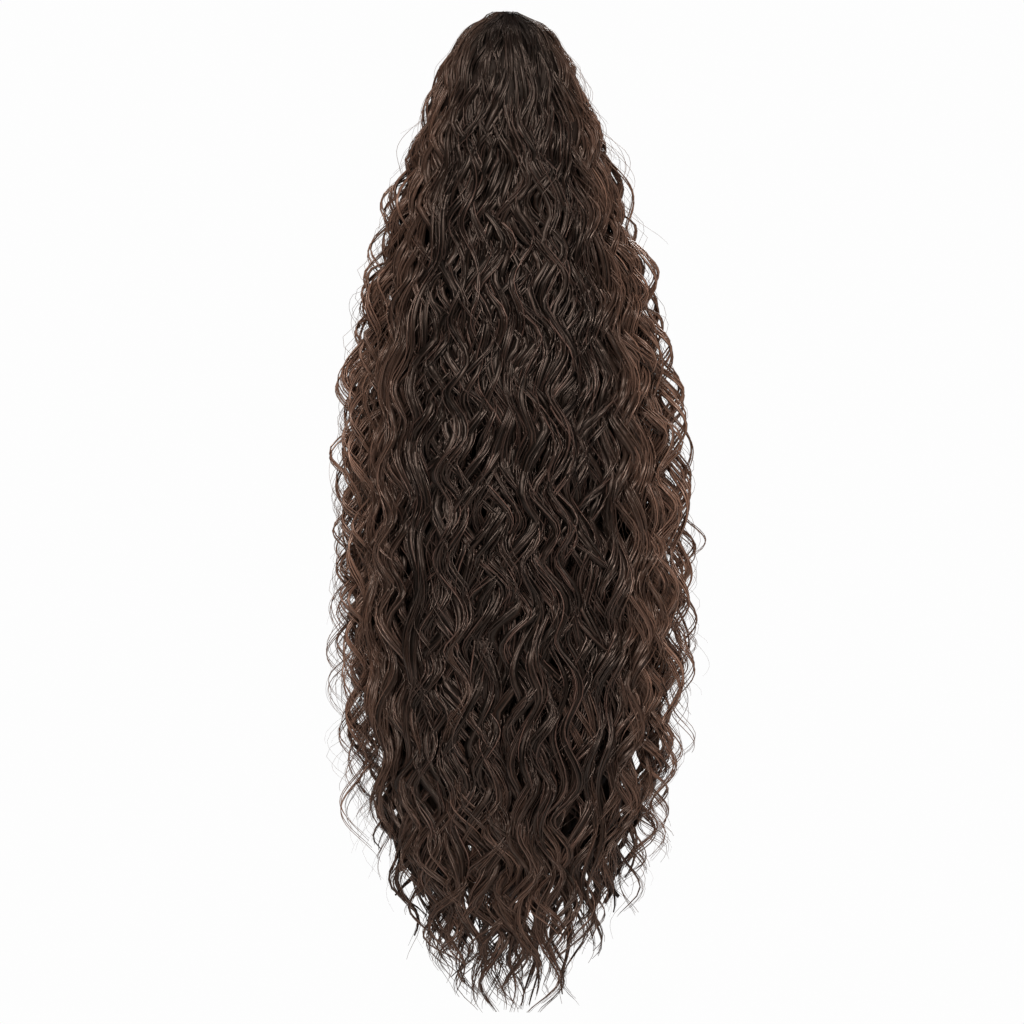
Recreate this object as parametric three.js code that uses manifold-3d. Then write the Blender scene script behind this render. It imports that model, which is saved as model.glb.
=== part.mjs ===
// A long curly ponytail hairpiece: a small dome-shaped base with a bound mouth and a holding comb inside,
// hair sewn over the dome, and the long tail of wavy locks that hangs below it.
// Millimetres, +Z up. The origin is the centre of the mouth, which faces +Y, towards the wearer's head.
// The side that is seen faces -Y.
import * as THREE from "three";
import { mergeVertices } from "three/addons/utils/BufferGeometryUtils.js";
import Module from "manifold-3d";

const wasm = await Module();
wasm.setup();

// Base dome: an oval cloth dome that goes over the wearer's own bun.
const BASE_WIDTH = 70;
const BASE_HEIGHT = 75;
const BASE_DEPTH = 29;
const BASE_WALL = 1.8;
const MOUTH_SQUARENESS = 2.5; // 2 is an ellipse, more is squarer

// Elastic binding, folded over the dome's edge.
const BINDING_DEPTH = 5;
const BINDING_WALL = 1.3;

// Holding comb, sewn inside the top of the mouth.
const COMB_WIDTH = 34;
const COMB_SPINE = 5;
const COMB_THICKNESS = 1.6;
const TOOTH_COUNT = 8;
const TOOTH_LENGTH = 15;
const TOOTH_WIDTH = 1.9;

// Clearance between pieces that touch.
const SEAT_GAP = 0.3;

// Hair over the dome.
const CROWN_RISE = 4; // above the binding
const CROWN_SIDE = 30; // beyond the dome's side, at the crown's foot
const CROWN_FRONT = 17; // in front of the dome, at the crown's foot
const CROWN_BACK = 3.7; // behind the hair's middle line, as far as the binding

// Tail: the dense body of hair below the dome. Its length reaches to the lowest lock tip.
const TAIL_LENGTH = 681;
const TAIL_WIDTH = 238;
const TAIL_FRONT = 70; // in front of the hair's middle line
const TAIL_BACK = 54; // behind the hair's middle line
const NAPE_BACK = 9; // behind the middle line where the tail leaves the dome

// Locks.
const LOCK_WIDTH = 36;
const LOCK_THICKNESS = 15;
const WAVE_LENGTH = 68;
const WAVE_SWAY = 8.5; // to each side
const WAVE_LIFT = 3.5; // outwards and inwards
const WAVES_BEGIN = 38; // above the tail's top
const WAVES_FULL = 75; // below the tail's top
const GROOVE_DEPTH = 9; // between the locks of the tail's body
const LOOSE_LOCK_SPREAD = 9; // how much further out a loose side lock stands than the body
const TIP_LOCK_LENGTH = 140; // of a body lock's free end, with the part of it inside the body

const FINISHES = {
  cloth: { color: 0x1d1814, roughness: 0.9, metalness: 0 },
  elastic: { color: 0x17130f, roughness: 0.8, metalness: 0 },
  plastic: { color: 0x14110f, roughness: 0.4, metalness: 0 },
  hair: { color: 0x39291f, roughness: 0.5, metalness: 0 },
};

const HALF_WIDTH = BASE_WIDTH / 2;
const HALF_HEIGHT = BASE_HEIGHT / 2;
const BINDING_REACH = BINDING_WALL + SEAT_GAP; // binding's face and outside, beyond the dome's edge
const BEHIND_BINDING = -(BINDING_DEPTH + SEAT_GAP);
const MIDDLE_LINE = BEHIND_BINDING - CROWN_BACK;
const BINDING_TOP = HALF_HEIGHT * unitRadius(BINDING_REACH);
const CROWN_TOP = BINDING_TOP + CROWN_RISE;
const TAIL_TOP = -(BINDING_TOP + SEAT_GAP);
const CROWN_FOOT = TAIL_TOP + SEAT_GAP;

// Crown sections, from the top down. at: height between the crown's top (0) and its foot (1).
// side and front: shares of the crown's half width and depth at its foot.
const CROWN_SECTIONS = [
  { at: 0.0, side: 0.06, front: 0.12 },
  { at: 0.05, side: 0.15, front: 0.23 },
  { at: 0.12, side: 0.32, front: 0.43 },
  { at: 0.2, side: 0.47, front: 0.6 },
  { at: 0.28, side: 0.56, front: 0.71 },
  { at: 0.38, side: 0.63, front: 0.8 },
  { at: 0.52, side: 0.73, front: 0.89 },
  { at: 0.75, side: 0.89, front: 0.97 },
  { at: 1.0, side: 1.0, front: 1.0 },
];

// Tail sections, from the top down. fall: share of the tail's length. neck and full: how much of the
// crown's foot and of the tail's widest section each one takes.
const TAIL_SECTIONS = [
  { fall: 0.0, neck: 1.0, full: 0.0 },
  { fall: 0.034, neck: 0.82, full: 0.19 },
  { fall: 0.09, neck: 0.62, full: 0.38 },
  { fall: 0.15, neck: 0.42, full: 0.56 },
  { fall: 0.22, neck: 0.24, full: 0.76 },
  { fall: 0.31, neck: 0.08, full: 0.92 },
  { fall: 0.42, neck: 0.0, full: 1.0 },
  { fall: 0.54, neck: 0.0, full: 1.0 },
  { fall: 0.65, neck: 0.0, full: 0.98 },
  { fall: 0.71, neck: 0.0, full: 0.94 },
  { fall: 0.77, neck: 0.0, full: 0.86 },
  { fall: 0.82, neck: 0.0, full: 0.76 },
  { fall: 0.87, neck: 0.0, full: 0.58 },
  { fall: 0.91, neck: 0.0, full: 0.34 },
];

// How far down the guide that the locks follow stays open, past the end of the dense body.
const GUIDE_SECTIONS = [
  { fall: 0.0, neck: 1.0, full: 0.0 },
  { fall: 0.034, neck: 0.82, full: 0.19 },
  { fall: 0.09, neck: 0.62, full: 0.38 },
  { fall: 0.15, neck: 0.42, full: 0.56 },
  { fall: 0.22, neck: 0.24, full: 0.76 },
  { fall: 0.31, neck: 0.08, full: 0.92 },
  { fall: 0.42, neck: 0.0, full: 1.0 },
  { fall: 0.65, neck: 0.0, full: 0.98 },
  { fall: 0.76, neck: 0.0, full: 0.91 },
  { fall: 0.82, neck: 0.0, full: 0.82 },
  { fall: 0.88, neck: 0.0, full: 0.67 },
  { fall: 0.93, neck: 0.0, full: 0.5 },
  { fall: 0.965, neck: 0.0, full: 0.38 },
  { fall: 1.0, neck: 0.0, full: 0.27 },
];

// Locks that the tail's body is made of, in order round it. turn: degrees from the front, positive towards
// +X. end: how far the lock's tip hangs, a share of the tail's length. phase: share of a wave.
const BODY_LOCKS = [
  { turn: -166, end: 0.985, phase: 0.85 },
  { turn: -140, end: 0.94, phase: 0.3 },
  { turn: -113, end: 0.88, phase: 0.65 },
  { turn: -87, end: 0.84, phase: 0.05 },
  { turn: -64, end: 0.89, phase: 0.5 },
  { turn: -44, end: 0.93, phase: 0.15 },
  { turn: -25, end: 0.965, phase: 0.7 },
  { turn: -7, end: 0.985, phase: 0.3 },
  { turn: 11, end: 1.0, phase: 0.9 },
  { turn: 30, end: 0.955, phase: 0.45 },
  { turn: 50, end: 0.91, phase: 0.0 },
  { turn: 72, end: 0.87, phase: 0.6 },
  { turn: 98, end: 0.85, phase: 0.2 },
  { turn: 125, end: 0.91, phase: 0.75 },
  { turn: 152, end: 0.96, phase: 0.4 },
];

// Loose locks beside the body. start and end: shares of the tail's length. wide: share of the lock width.
const LOOSE_LOCKS = [
  { turn: -73, start: 0.2, end: 0.84, phase: 0.7, wide: 0.45 },
  { turn: 78, start: 0.2, end: 0.82, phase: 0.1, wide: 0.45 },
  { turn: -103, start: 0.15, end: 0.8, phase: 0.2, wide: 0.45 },
  { turn: 106, start: 0.16, end: 0.81, phase: 0.55, wide: 0.45 },
];

// Crown locks. start: height share down the crown. end: share of the tail's length.
const CROWN_LOCKS = [
  { turn: 4, start: 0.1, end: 0.2, phase: 0.2, wide: 0.8 },
  { turn: -25, start: 0.14, end: 0.22, phase: 0.6, wide: 0.8 },
  { turn: 33, start: 0.14, end: 0.23, phase: 0.85, wide: 0.8 },
  { turn: -55, start: 0.2, end: 0.19, phase: 0.1, wide: 0.7 },
  { turn: 62, start: 0.2, end: 0.18, phase: 0.4, wide: 0.7 },
];

// Facets.
const SECTION_SIDES = 20;
const LOCK_SIDES = 4;
const STEPS_PER_WAVE = 4;
const DOME_SIDES = 28;
const DOME_STEPS = 5;
const TOOTH_END_STEPS = 3;
const SPINE_STEPS = 6;

// Shares that shape a lock.
const SHOULDER_PLACE = 0.26; // of the way to the next lock
const KEEP_OUT_FALL = 0.5; // of the tail's length that the crown's locks are kept clear of
const TIP_LOCK_WIDE = 0.62;
const EMBEDDED = 0.2; // of a lock's half thickness, its middle's distance outside the body
const SPREAD_BY = 0.16; // of a loose lock's length, where it stands off in full
const ROOT_SHARE = 0.45; // of full size, at a lock's root
const ROOT_SWELL = 4; // how fast a lock swells from its root
const TIP_SHARE = 0.09; // of full size, at a lock's tip
const TIP_SWELL = 4.2; // how fast a lock swells from its tip

const lerp = THREE.MathUtils.lerp;

// Value of a table's column at a place in another column, read between its rows by a smooth curve.
function readTable(rows, key, place, column) {
  const last = rows.length - 1;
  if (place <= rows[0][key]) return rows[0][column];
  if (place >= rows[last][key]) return rows[last][column];
  const i = rows.findIndex((row) => row[key] > place) - 1;
  const slope = (j) => {
    const a = rows[Math.max(j - 1, 0)];
    const b = rows[Math.min(j + 1, last)];
    return (b[column] - a[column]) / (b[key] - a[key]);
  };
  const step = rows[i + 1][key] - rows[i][key];
  const t = (place - rows[i][key]) / step;
  const startPull = slope(i) * step;
  const endPull = slope(i + 1) * step;
  return (
    (2 * t ** 3 - 3 * t ** 2 + 1) * rows[i][column] +
    (t ** 3 - 2 * t ** 2 + t) * startPull +
    (3 * t ** 2 - 2 * t ** 3) * rows[i + 1][column] +
    (t ** 3 - t ** 2) * endPull
  );
}

// Closed solid through rings of equally many points, with flat ends.
function loft(rings) {
  const sides = rings[0].length;
  const positions = rings.flat().flatMap((p) => [p.x, p.y, p.z]);
  const indices = [];
  for (let r = 0; r + 1 < rings.length; r++) {
    for (let s = 0; s < sides; s++) {
      const a = r * sides + s;
      const b = r * sides + ((s + 1) % sides);
      indices.push(a, b, b + sides, a, b + sides, a + sides);
    }
  }
  const end = (rings.length - 1) * sides;
  for (let s = 1; s + 1 < sides; s++) {
    indices.push(0, s + 1, s, end, end + s, end + s + 1);
  }
  const geometry = new THREE.BufferGeometry();
  geometry.setAttribute("position", new THREE.Float32BufferAttribute(positions, 3));
  geometry.setIndex(indices);
  return geometry;
}

// Closed geometry as a solid that can be joined and cut, its faces turned outwards.
function toSolid(geometry) {
  const bare = geometry.clone();
  bare.deleteAttribute("normal");
  bare.deleteAttribute("uv");
  const merged = mergeVertices(bare, 1e-4);
  const vertProperties = merged.attributes.position.array;
  const triVerts = new Uint32Array(merged.index.array);
  const solid = new wasm.Manifold(new wasm.Mesh({ numProp: 3, vertProperties, triVerts }));
  if (solid.volume() > 0) return solid;
  triVerts.reverse();
  return new wasm.Manifold(new wasm.Mesh({ numProp: 3, vertProperties, triVerts }));
}

// Solid back as a geometry.
function toGeometry(solid) {
  const { vertProperties, triVerts } = solid.getMesh();
  const geometry = new THREE.BufferGeometry();
  geometry.setAttribute("position", new THREE.BufferAttribute(vertProperties, 3));
  geometry.setIndex(new THREE.BufferAttribute(triVerts, 1));
  geometry.computeVertexNormals();
  return geometry;
}

// Radius of the mouth's unit oval in a direction of the XZ plane.
function ovalRadius(angle) {
  const n = MOUTH_SQUARENESS;
  return (Math.abs(Math.cos(angle)) ** n + Math.abs(Math.sin(angle)) ** n) ** (-1 / n);
}

// A lathed profile, radius 1 at the dome's edge, stretched to the mouth's oval.
function latheOval(profile) {
  const geometry = new THREE.LatheGeometry(profile, DOME_SIDES);
  const position = geometry.attributes.position;
  for (let i = 0; i < position.count; i++) {
    const x = position.getX(i);
    const z = position.getZ(i);
    const stretch = ovalRadius(Math.atan2(z, x));
    position.setX(i, x * stretch * HALF_WIDTH);
    position.setZ(i, z * stretch * HALF_HEIGHT);
  }
  return toSolid(geometry);
}

// A distance outwards from the dome's edge as a radius of the unit oval.
function unitRadius(outwards) {
  return 1 + outwards / Math.min(HALF_WIDTH, HALF_HEIGHT);
}

// Points along the dome's side, from the pole to the edge, set outwards by some distance: a round part
// and then a straight one inside the binding.
function domeCurve(outwards) {
  const points = [];
  for (let i = 0; i <= DOME_STEPS; i++) {
    const angle = ((Math.PI / 2) * i) / DOME_STEPS;
    const radius = unitRadius(outwards) * Math.sin(angle);
    const depth = (BASE_DEPTH + BEHIND_BINDING + outwards) * Math.cos(angle);
    points.push(new THREE.Vector2(radius, BEHIND_BINDING - depth));
  }
  points.push(new THREE.Vector2(unitRadius(outwards), -BINDING_REACH));
  return points;
}

function makeBase() {
  return latheOval([...domeCurve(0), ...domeCurve(-BASE_WALL).reverse()]);
}

// The space that the dome takes, with the hollow filled and the mouth run out, to cut the hair clear.
function domeKeepOut() {
  const mouth = BASE_DEPTH;
  return latheOval([
    ...domeCurve(SEAT_GAP),
    new THREE.Vector2(unitRadius(SEAT_GAP), mouth),
    new THREE.Vector2(0, mouth),
  ]);
}

// Binding: a U-shaped section round the mouth, with the dome's edge in its slot.
function makeBinding() {
  const outside = unitRadius(BINDING_REACH);
  const slotOutside = unitRadius(SEAT_GAP);
  const slotInside = unitRadius(-BASE_WALL - SEAT_GAP);
  const inside = unitRadius(-BASE_WALL - BINDING_REACH);
  return latheOval([
    new THREE.Vector2(inside, 0),
    new THREE.Vector2(inside, -BINDING_DEPTH),
    new THREE.Vector2(slotInside, -BINDING_DEPTH),
    new THREE.Vector2(slotInside, -BINDING_WALL),
    new THREE.Vector2(slotOutside, -BINDING_WALL),
    new THREE.Vector2(slotOutside, -BINDING_DEPTH),
    new THREE.Vector2(outside, -BINDING_DEPTH),
    new THREE.Vector2(outside, 0),
    new THREE.Vector2(inside, 0),
  ]);
}

// Comb: a spine that follows the inside of the dome, and a row of round-ended teeth pointing down.
function makeComb() {
  const depthShare = COMB_THICKNESS / (BASE_DEPTH - BASE_WALL + BEHIND_BINDING);
  const seat = (unitRadius(-BASE_WALL) - SEAT_GAP / HALF_HEIGHT) * Math.sqrt(1 - depthShare ** 2);
  const n = MOUTH_SQUARENESS;
  const seatHeight = (x) =>
    HALF_HEIGHT * (seat ** n - Math.abs(x / HALF_WIDTH) ** n) ** (1 / n) - SEAT_GAP;
  const half = COMB_WIDTH / 2;
  const spineFoot = seatHeight(half) - COMB_SPINE;
  const pitch = (COMB_WIDTH - TOOTH_WIDTH) / (TOOTH_COUNT - 1);
  const toothEnd = TOOTH_WIDTH / 2;

  const outline = new THREE.Shape();
  outline.moveTo(-half, spineFoot);
  for (let i = 0; i < TOOTH_COUNT; i++) {
    const middle = -half + toothEnd + i * pitch;
    outline.lineTo(middle - toothEnd, spineFoot - TOOTH_LENGTH);
    outline.absarc(middle, spineFoot - TOOTH_LENGTH, toothEnd, Math.PI, 2 * Math.PI, false);
    outline.lineTo(middle + toothEnd, spineFoot);
    if (i + 1 < TOOTH_COUNT) outline.lineTo(middle + pitch - toothEnd, spineFoot);
  }
  for (let i = 0; i <= SPINE_STEPS; i++) {
    const x = lerp(half, -half, i / SPINE_STEPS);
    outline.lineTo(x, seatHeight(x));
  }
  const geometry = new THREE.ExtrudeGeometry(outline, {
    depth: COMB_THICKNESS,
    bevelEnabled: false,
    curveSegments: TOOTH_END_STEPS,
  });
  geometry.rotateX(Math.PI / 2);
  geometry.translate(0, BEHIND_BINDING, 0);
  return toSolid(geometry);
}

// Half sizes of the hair's horizontal section at a height, from one of the tail tables.
function sectionAt(z, rows) {
  const foot = { side: HALF_WIDTH + CROWN_SIDE, front: BASE_DEPTH + CROWN_FRONT + MIDDLE_LINE };
  if (z > TAIL_TOP) {
    const at = (CROWN_TOP - z) / (CROWN_TOP - CROWN_FOOT);
    return {
      side: foot.side * readTable(CROWN_SECTIONS, "at", at, "side"),
      front: foot.front * readTable(CROWN_SECTIONS, "at", at, "front"),
      back: CROWN_BACK,
    };
  }
  const fall = (TAIL_TOP - z) / TAIL_LENGTH;
  const neck = readTable(rows, "fall", fall, "neck");
  const full = readTable(rows, "fall", fall, "full");
  return {
    side: neck * foot.side + (full * TAIL_WIDTH) / 2,
    front: neck * foot.front + full * TAIL_FRONT,
    back: neck * NAPE_BACK + full * TAIL_BACK,
  };
}

// Point of a section's outline at a turn from the front, and the outward normal and sideways tangent there.
function outlineAt(section, z, turn) {
  const depth = Math.cos(turn) > 0 ? section.front : section.back;
  const point = new THREE.Vector3(
    section.side * Math.sin(turn),
    MIDDLE_LINE - depth * Math.cos(turn),
    z,
  );
  const normal = new THREE.Vector3(
    Math.sin(turn) / section.side,
    -Math.cos(turn) / depth,
    0,
  ).normalize();
  const tangent = new THREE.Vector3(-normal.y, normal.x, 0);
  return { point, normal, tangent };
}

// How far the hair has come loose into waves at a height: 0 at the crown, 1 from the tail's upper part down.
function loosenedAt(z) {
  return THREE.MathUtils.smoothstep(TAIL_TOP - z, -WAVES_BEGIN, WAVES_FULL);
}

// Sideways sway and outward lift of a wave with some phase at a height.
function waveAt(z, phase) {
  const angle = 2 * Math.PI * (phase - z / WAVE_LENGTH);
  return { sway: WAVE_SWAY * Math.sin(angle), lift: WAVE_LIFT * Math.cos(angle) };
}

function moved({ point, normal, tangent }, outwards, sideways) {
  return point.clone().addScaledVector(normal, outwards).addScaledVector(tangent, sideways);
}

function smoothRing(z, grown = 0) {
  const { side, front, back } = sectionAt(z, TAIL_SECTIONS);
  const section = { side: side + grown, front: front + grown, back: back + grown };
  const turnOf = (s) => (2 * Math.PI * s) / SECTION_SIDES;
  return Array.from({ length: SECTION_SIDES }, (_, s) => outlineAt(section, z, turnOf(s)).point);
}

// Section of the tail's body: a groove before each lock, then the lock's two shoulders.
function bodyRing(z) {
  const section = sectionAt(z, TAIL_SECTIONS);
  const looseness = loosenedAt(z) * Math.min(1, section.side / (TAIL_WIDTH / 2));
  const waves = BODY_LOCKS.map((lock) => waveAt(z, lock.phase));
  const ring = [];
  BODY_LOCKS.forEach((lock, i) => {
    const before = (i + BODY_LOCKS.length - 1) % BODY_LOCKS.length;
    const after = (i + 1) % BODY_LOCKS.length;
    const fullTurn = 2 * Math.PI;
    const turn = THREE.MathUtils.degToRad(lock.turn);
    const turnBefore = THREE.MathUtils.degToRad(BODY_LOCKS[before].turn) - (i === 0 ? fullTurn : 0);
    const turnAfter = THREE.MathUtils.degToRad(BODY_LOCKS[after].turn) + (after === 0 ? fullTurn : 0);
    const grooveSway = (waves[before].sway + waves[i].sway) / 2;
    const groove = outlineAt(section, z, (turnBefore + turn) / 2);
    ring.push(moved(groove, -GROOVE_DEPTH * looseness, grooveSway * looseness));
    for (const neighbour of [turnBefore, turnAfter]) {
      const shoulder = outlineAt(section, z, lerp(turn, neighbour, SHOULDER_PLACE));
      ring.push(moved(shoulder, waves[i].lift * looseness, waves[i].sway * looseness));
    }
  });
  return ring;
}

// One wavy lock as horizontal sections along the guide: swelling from its root, swaying, ending in a point.
function makeLock(lock, rootZ, tipZ, spread = 0) {
  const turn = THREE.MathUtils.degToRad(lock.turn);
  const steps = Math.ceil(((rootZ - tipZ) / WAVE_LENGTH) * STEPS_PER_WAVE);
  const rings = [];
  for (let i = 0; i <= steps; i++) {
    const along = i / steps;
    const z = lerp(rootZ, tipZ, along);
    const frame = outlineAt(sectionAt(z, GUIDE_SECTIONS), z, turn);
    const swell =
      Math.min(1, ROOT_SHARE + along * ROOT_SWELL) * Math.min(1, TIP_SHARE + (1 - along) * TIP_SWELL);
    const halfWidth = (LOCK_WIDTH / 2) * lock.wide * swell;
    const halfThickness = (LOCK_THICKNESS / 2) * swell;
    const loosened = loosenedAt(z);
    const { sway, lift } = waveAt(z, lock.phase);
    const standsOff = spread * THREE.MathUtils.smoothstep(along, 0, SPREAD_BY);
    const outwards = halfThickness * EMBEDDED + loosened * lift + standsOff;
    const middle = { ...frame, point: moved(frame, outwards, loosened * sway) };
    const corners = Array.from({ length: LOCK_SIDES }, (_, s) => (2 * Math.PI * s) / LOCK_SIDES);
    rings.push(corners.map((c) => moved(middle, halfThickness * Math.cos(c), halfWidth * Math.sin(c))));
  }
  return toSolid(loft(rings));
}

const tailHeight = (fall) => TAIL_TOP - fall * TAIL_LENGTH;
const crownHeight = (at) => lerp(CROWN_TOP, CROWN_FOOT, at);

function makeTail() {
  const bodyEnd = TAIL_SECTIONS[TAIL_SECTIONS.length - 1].fall;
  const steps = Math.ceil(((bodyEnd * TAIL_LENGTH) / WAVE_LENGTH) * STEPS_PER_WAVE);
  const rings = Array.from({ length: steps + 1 }, (_, i) => bodyRing(tailHeight((bodyEnd * i) / steps)));
  const tips = BODY_LOCKS.map((lock) => {
    const tipZ = tailHeight(lock.end);
    return makeLock({ ...lock, wide: TIP_LOCK_WIDE }, tipZ + TIP_LOCK_LENGTH, tipZ);
  });
  const loose = LOOSE_LOCKS.map((lock) =>
    makeLock(lock, tailHeight(lock.start), tailHeight(lock.end), LOOSE_LOCK_SPREAD),
  );
  return [...tips, ...loose].reduce((tail, lock) => tail.add(lock), toSolid(loft(rings)));
}

// The room that the tail's upper part takes, waves included, to cut the crown's locks clear of it.
function tailKeepOut() {
  const waveReach = WAVE_LIFT + WAVE_SWAY ** 2 / TAIL_FRONT;
  const reach = TAIL_SECTIONS.filter((row) => row.fall < KEEP_OUT_FALL);
  const rings = reach.map(({ fall }) => {
    const z = tailHeight(fall);
    const lifted = fall === 0 ? z + SEAT_GAP : z;
    return smoothRing(z, SEAT_GAP + waveReach * loosenedAt(z)).map((point) => point.setZ(lifted));
  });
  return toSolid(loft(rings));
}

function makeCrown() {
  const body = toSolid(loft(CROWN_SECTIONS.map((row) => smoothRing(crownHeight(row.at)))));
  const locks = CROWN_LOCKS.map((lock) => makeLock(lock, crownHeight(lock.start), tailHeight(lock.end)));
  const crown = locks.reduce((joined, lock) => joined.add(lock), body);
  const cut = crown.subtract(domeKeepOut()).subtract(tailKeepOut());
  // A lock tip that the cut parts from the crown is left out.
  return cut.decompose().reduce((main, part) => (part.volume() > main.volume() ? part : main));
}

function named(name, solid, finish) {
  const mesh = new THREE.Mesh(toGeometry(solid), new THREE.MeshStandardMaterial(finish));
  mesh.name = name;
  return mesh;
}

const hairpiece = new THREE.Group();
hairpiece.add(named("base_dome", makeBase(), FINISHES.cloth));
hairpiece.add(named("mouth_binding", makeBinding(), FINISHES.elastic));
hairpiece.add(named("holding_comb", makeComb(), FINISHES.plastic));
hairpiece.add(named("crown_hair", makeCrown(), FINISHES.hair));
hairpiece.add(named("tail_hair", makeTail(), FINISHES.hair));

export default hairpiece;
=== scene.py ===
"""Looks of a long curly ponytail hairpiece: a small cloth base dome with hair sewn over it and a long tail.

The hair is drawn as thousands of closed strands that follow the same sections as the solid crown and tail.
Heights and widths are in millimetres in the tables and in metres in every mesh. The side seen faces -Y.
"""

import logging
import math
from dataclasses import dataclass, field
from enum import Enum

import bpy
import numpy as np
from mathutils import Matrix, Vector


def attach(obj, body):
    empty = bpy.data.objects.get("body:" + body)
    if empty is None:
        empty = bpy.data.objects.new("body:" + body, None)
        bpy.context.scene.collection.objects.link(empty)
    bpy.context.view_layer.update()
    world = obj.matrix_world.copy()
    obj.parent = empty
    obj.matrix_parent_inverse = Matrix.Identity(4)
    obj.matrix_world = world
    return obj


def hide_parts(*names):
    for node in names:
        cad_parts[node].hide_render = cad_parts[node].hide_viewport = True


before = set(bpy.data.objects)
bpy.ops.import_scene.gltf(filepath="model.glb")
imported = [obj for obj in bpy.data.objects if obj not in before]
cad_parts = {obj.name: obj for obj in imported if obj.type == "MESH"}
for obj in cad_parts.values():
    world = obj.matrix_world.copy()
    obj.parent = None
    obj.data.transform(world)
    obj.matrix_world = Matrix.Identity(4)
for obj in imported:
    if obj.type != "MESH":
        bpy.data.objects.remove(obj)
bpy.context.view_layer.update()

LOG = logging.getLogger("ponytail")
MM = 0.001
MIDDLE_LINE = -9.0  # the hair's middle line, in front of the mouth
CROWN_TOP = 42.3
CROWN_FOOT = -39.5
TAIL_END = -720.0
ROOT_CROWDING = 0.04  # share of a strand's length along which its points lie closer
TIP_CROWDING = 1.15  # more than 1 draws its points closer together towards the tip
CREST_CROWDING = 0.42  # how much closer its points lie at the crests of its waves
CROWN_LOOSENESS = 0.36  # how large the waves at the dome's top are beside those of the tail
WAVES_BEGIN = 42.0  # height at which the waves start to grow
WAVES_FULL = -110.0  # height below which they are full
CURL_START = 0.8  # share of the way to the tip from which the last curl opens
CURL_GROWTH = 0.3  # how much wider the last curl is
GATHER_START = 0.74  # share of the way to the tip from which a lock's strands draw together
GATHER_END = 0.99
TWIST_LENGTH = 66.0  # millimetres in which a lock's strands wind by its twist
FULLEST_SIDE = 105.0  # the hair's half width, in millimetres, from which its locks are as wide as they get
FULL_GIRTH_SIDE = 100.0  # the hair's half width from which each strand has its full thickness
FLOW_UNIT = 100.0  # millimetres along a strand in one unit of its flow map
MOUTH_TURN = 97.0  # degrees from the front to where the front's hair meets the back's
BACK_TOP = -60.0  # height under the mouth from which loose hair hangs at the back
TUCK_DEPTH = 0.3  # how far in, as a share, a lock starts that leaves from between others


class Piece(Enum):
    """The pieces of hair, named as they go into the scene."""

    CORE = "hair_core"
    ROOT_PAD = "hair_root_pad"
    UNDER_LOCKS = "hair_under_locks"
    FRONT_LOCKS = "hair_front_locks"
    BACK_LOCKS = "hair_back_locks"
    LEFT_STRANDS = "hair_left_strands"
    MIDDLE_STRANDS = "hair_middle_strands"
    RIGHT_STRANDS = "hair_right_strands"
    BACK_STRANDS = "hair_back_strands"
    FRINGE_LOCKS = "hair_fringe_locks"
    TIP_LOCKS = "hair_tip_locks"
    STRAY_STRANDS = "hair_stray_strands"


@dataclass(frozen=True)
class OutlineRow:
    """One horizontal section of the hair. All values are millimetres; hem is how wide hair still hangs."""

    height: float
    left: float
    right: float
    front: float
    back: float
    hem: float


OUTLINE = (
    OutlineRow(height=42.3, left=11, right=3, front=4, back=3.4, hem=7),
    OutlineRow(height=41, left=14.5, right=6, front=6.5, back=3.5, hem=10),
    OutlineRow(height=39, left=16.5, right=10, front=8.5, back=3.6, hem=13),
    OutlineRow(height=37, left=18, right=14.5, front=11, back=3.7, hem=16),
    OutlineRow(height=35.5, left=20.5, right=18, front=13, back=3.7, hem=19),
    OutlineRow(height=33, left=26, right=24, front=16.5, back=3.7, hem=25),
    OutlineRow(height=27, left=33.5, right=31, front=22, back=3.7, hem=32),
    OutlineRow(height=20, left=39, right=34.5, front=26, back=3.7, hem=37),
    OutlineRow(height=12, left=43, right=38.5, front=29.6, back=3.7, hem=41),
    OutlineRow(height=0, left=51, right=47, front=33, back=3.7, hem=49),
    OutlineRow(height=-19, left=57, right=54, front=36, back=3.7, hem=56),
    OutlineRow(height=-39, left=64, right=61, front=37.5, back=5, hem=62),
    OutlineRow(height=-63, left=73, right=70, front=43.5, back=17, hem=71),
    OutlineRow(height=-101, left=83, right=80, front=49.5, back=26, hem=81),
    OutlineRow(height=-142, left=94, right=93, front=55, back=34, hem=93),
    OutlineRow(height=-189, left=105, right=102, front=62, back=43, hem=103),
    OutlineRow(height=-250, left=114, right=114, front=67.5, back=50, hem=114),
    OutlineRow(height=-325, left=118, right=122, front=70, back=54, hem=120),
    OutlineRow(height=-407, left=120, right=125, front=70, back=54, hem=122),
    OutlineRow(height=-484, left=120, right=122, front=69, back=53, hem=121),
    OutlineRow(height=-540, left=119, right=118, front=66, back=51, hem=117),
    OutlineRow(height=-580, left=116, right=115, front=63, back=48, hem=112),
    OutlineRow(height=-615, left=110, right=109, front=60, back=46, hem=100),
    OutlineRow(height=-640, left=103, right=102, front=56, back=43, hem=83),
    OutlineRow(height=-670, left=95, right=94, front=52, back=40, hem=65),
    OutlineRow(height=-700, left=87, right=86, front=48, back=37, hem=36),
    OutlineRow(height=-716, left=83, right=82, front=45, back=35, hem=6),
)


def linear(sheet_hex: str) -> tuple[float, float, float, float]:
    """Turns an sRGB hex colour into linear red, green, blue and alpha.

    Args:
        sheet_hex: six hex digits, such as "3a2a22".

    Returns:
        The colour as linear values with alpha 1.
    """
    shares = [int(sheet_hex[i : i + 2], 16) / 255 for i in (0, 2, 4)]
    values = [s / 12.92 if s <= 0.04045 else ((s + 0.055) / 1.055) ** 2.4 for s in shares]
    return (*values, 1.0)


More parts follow.
